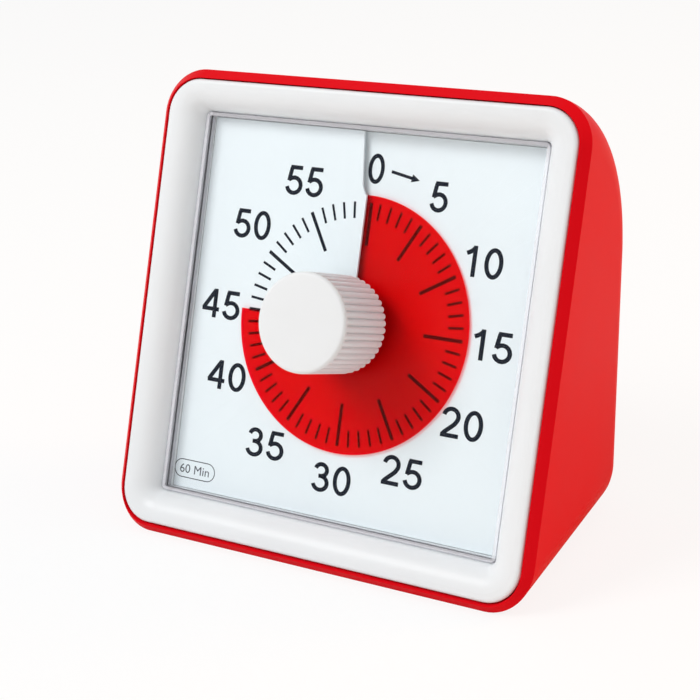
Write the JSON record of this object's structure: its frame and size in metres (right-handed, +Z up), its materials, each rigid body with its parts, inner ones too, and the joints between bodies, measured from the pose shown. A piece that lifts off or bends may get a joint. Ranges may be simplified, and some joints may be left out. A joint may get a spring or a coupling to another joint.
{
  "type": "visual countdown timer",
  "caption": "Desk timer with a tilted square face, a central knob and a red disc that passes through a slit in the dial and shows the minutes left.",
  "frame": {"origin": "middle of the base, on the surface that the timer stands on", "axes": "+X to the right of the face, +Y to the back, +Z up; the face looks to -Y and leans back 19.33 degrees"},
  "size_m": [0.078, 0.048, 0.074],
  "materials": {
    "red_plastic": "smooth satin gloss",
    "white_plastic": "smooth satin gloss",
    "clear_lens": "clear acrylic, polished",
    "dial_card": "printed card, matt",
    "red_film": "tinted film",
    "tray_plastic": "moulded",
    "black_plastic": "moulded",
    "steel": "plated",
    "brass": "plain",
    "copper": "enamelled wire",
    "board": "solder mask",
    "cell_sleeve": "plain printed sleeve"
  },
  "bodies": {
    "case": {"rear_housing": "red_plastic", "front_bezel": "white_plastic", "window_lens": "clear_lens", "dial_card": "dial_card", "dial_tray": "tray_plastic", "movement_front": "black_plastic", "movement_rear": "black_plastic", "stator": "steel", "drive_coil": "copper", "circuit_board": "board", "sounder": "black_plastic", "switch_body": "black_plastic", "battery_cell": "cell_sleeve", "contact_plus": "steel", "contact_minus": "steel", "contact_spring": "steel", "case_screw_1": "steel", "movement_screw_1": "steel", "board_screw_1": "steel", "case_screw_2": "steel", "movement_screw_2": "steel", "board_screw_2": "steel"},
    "dial_drive": {"knob": "white_plastic", "spindle": "steel", "disc_hub": "tray_plastic", "centre_wheel": "brass", "clutch_washer": "steel"},
    "red_disc": {"time_disc": "red_film"},
    "third_wheel": {"third_wheel": "brass"},
    "second_wheel": {"second_wheel": "brass"},
    "rotor": {"rotor": "steel"},
    "volume_slider": {"volume_slider": "white_plastic"},
    "battery_door": {"battery_door": "red_plastic"}
  },
  "joints": [
    {"name": "knob_turn", "type": "hinge", "parent": "case", "child": "dial_drive", "pos_m": [0, -0.00562, 0.036], "axis": [0, -0.9436, 0.331], "range_deg": [-90, 270]},
    {"name": "disc_rise", "type": "slide", "parent": "dial_drive", "child": "red_disc", "axis": [0, -0.9436, 0.331], "range_m": [-0.00091, 0.00031]},
    {"name": "rotor_spin", "type": "hinge", "parent": "case", "child": "rotor", "pos_m": [0.01342, -0.0024, 0.04518], "axis": [0, -0.9436, 0.331], "continuous": true},
    {"name": "second_wheel_spin", "type": "hinge", "parent": "case", "child": "second_wheel", "pos_m": [0.01342, -0.00412, 0.04027], "axis": [0, -0.9436, 0.331], "continuous": true},
    {"name": "third_wheel_spin", "type": "hinge", "parent": "case", "child": "third_wheel", "pos_m": [0.0089, -0.00562, 0.036], "axis": [0, -0.9436, 0.331], "continuous": true},
    {"name": "volume_slide", "type": "slide", "parent": "case", "child": "volume_slider", "axis": [1, 0, 0], "range_m": [-0.0025, 0.0025]},
    {"name": "battery_door_swing", "type": "hinge", "parent": "case", "child": "battery_door", "pos_m": [0, 0.0232, 0.0093], "axis": [-1, 0, 0], "range_deg": [0, 90]}
  ],
  "couplings": [
    {"joint": "disc_rise", "follows": "knob_turn", "m_per_rad": -0.00019099},
    {"joint": "second_wheel_spin", "follows": "rotor_spin", "ratio": -0.19048},
    {"joint": "third_wheel_spin", "follows": "rotor_spin", "ratio": 0.03663}
  ]
}
